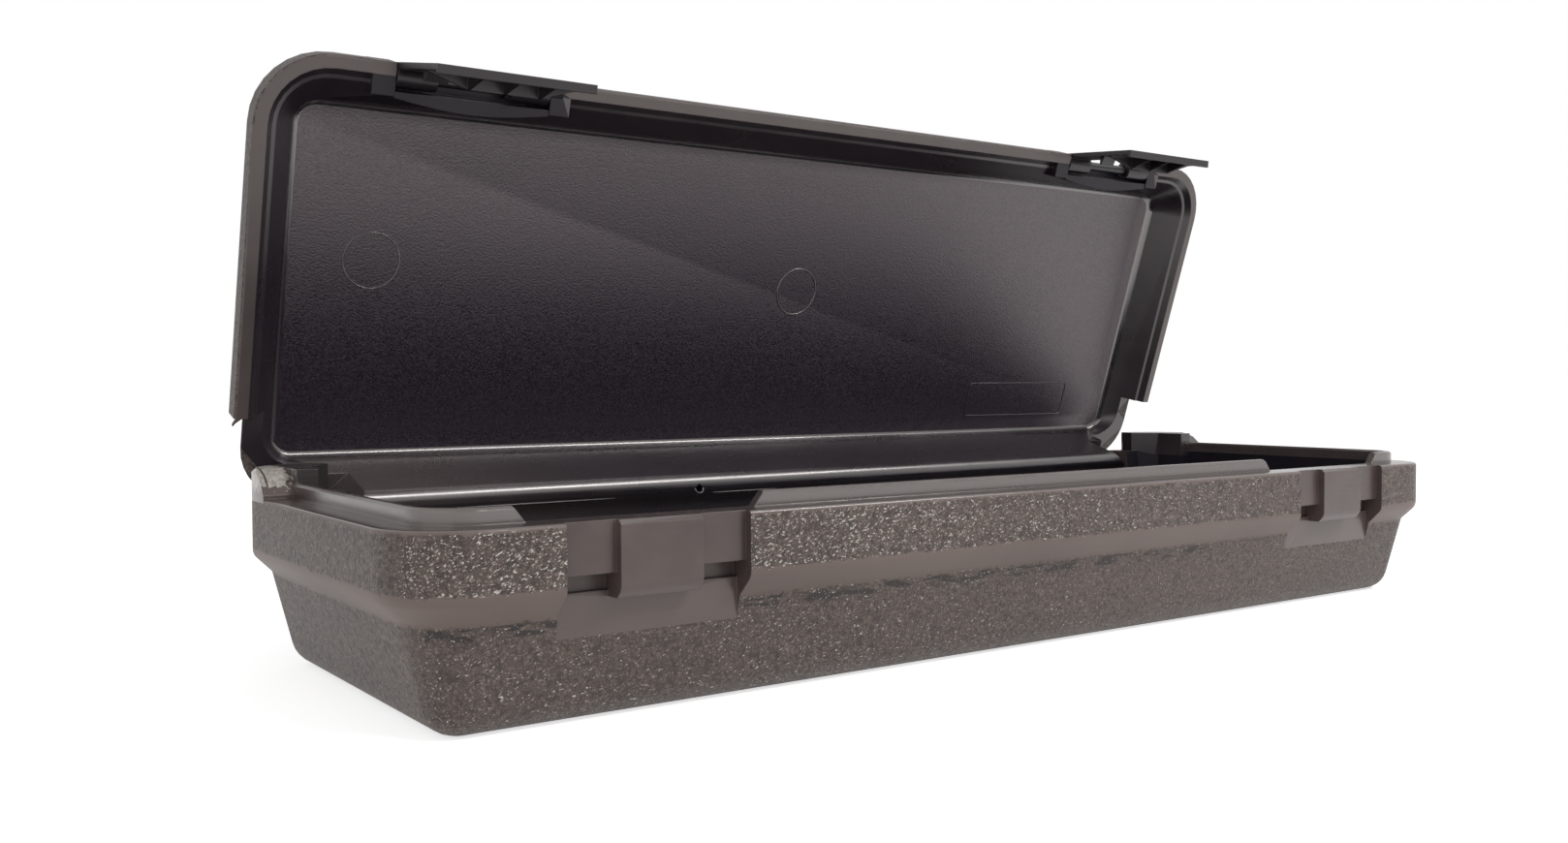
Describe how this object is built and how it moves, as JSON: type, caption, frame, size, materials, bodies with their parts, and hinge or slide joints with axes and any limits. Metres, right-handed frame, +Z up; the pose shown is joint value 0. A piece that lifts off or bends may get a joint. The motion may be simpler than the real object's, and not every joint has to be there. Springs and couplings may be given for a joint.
{
  "type": "blow molded case",
  "caption": "Long shallow hollow-walled plastic case with a hinged lid leaning open, snap latches on the lid's front edge and catch blocks in recesses of the base.",
  "frame": {"origin": "centre of the base's flat underside, on the ground", "axes": "+Z up, X along the case's length, -Y towards the latches, +Y towards the hinge"},
  "size_m": [0.46, 0.1868, 0.198],
  "materials": {
    "shell_plastic": "dark grey, fine pebbled grain",
    "latch_plastic": "dark grey, smooth satin",
    "pin_steel": "blackened"
  },
  "bodies": {
    "base": {"base_shell": "shell_plastic", "hinge_pin_left": "pin_steel", "hinge_pin_right": "pin_steel"},
    "lid": {"lid_shell": "shell_plastic", "latch_pin_left": "pin_steel", "latch_pin_right": "pin_steel"},
    "left_latch": {"latch_left": "latch_plastic"},
    "right_latch": {"latch_right": "latch_plastic"}
  },
  "joints": [
    {"name": "lid_hinge", "type": "hinge", "parent": "base", "child": "lid", "pos_m": [0, 0.0775, 0.0439], "axis": [-1, 0, 0], "range_deg": [-72.6, 37.4]},
    {"name": "left_latch_pivot", "type": "hinge", "parent": "lid", "child": "left_latch", "pos_m": [-0.1588, 0.04738, 0.19218], "axis": [-1, 0, 0], "range_deg": [-6, 99.5]},
    {"name": "right_latch_pivot", "type": "hinge", "parent": "lid", "child": "right_latch", "pos_m": [0.1588, 0.04738, 0.19218], "axis": [-1, 0, 0], "range_deg": [-12, 93.5]}
  ]
}
